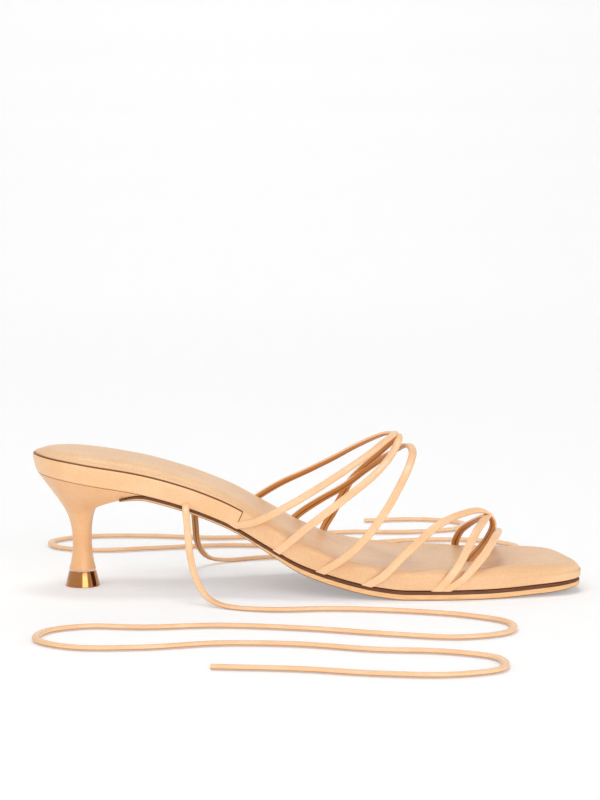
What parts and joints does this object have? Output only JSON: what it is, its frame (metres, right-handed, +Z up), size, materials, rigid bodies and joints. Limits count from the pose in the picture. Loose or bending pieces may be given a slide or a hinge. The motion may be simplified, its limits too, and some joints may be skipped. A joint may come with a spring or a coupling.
{
  "type": "lace-up heeled sandal",
  "caption": "Lace-up leather sandal for the left foot: narrow instep and toe straps, a toe post, long ankle ties, padded footbed and a covered kitten heel.",
  "frame": {"origin": "middle of the heel tip's flat foot, on the floor", "axes": "+X runs to the toe, +Y to the outer side of the left foot, +Z up"},
  "size_m": [0.2507, 0.3752, 0.0701],
  "materials": {
    "sole_leather": "satin",
    "insole_leather": "satin",
    "upper_leather": "satin",
    "tip_metal": "polished"
  },
  "bodies": {
    "root": {"outsole": "sole_leather", "footbed": "insole_leather", "seat_cover": "upper_leather", "heel": "upper_leather", "heel_tip": "tip_metal", "vamp_straps": "upper_leather", "toe_straps": "upper_leather", "inner_tie": "upper_leather", "outer_tie": "upper_leather"}
  },
  "joints": []
}
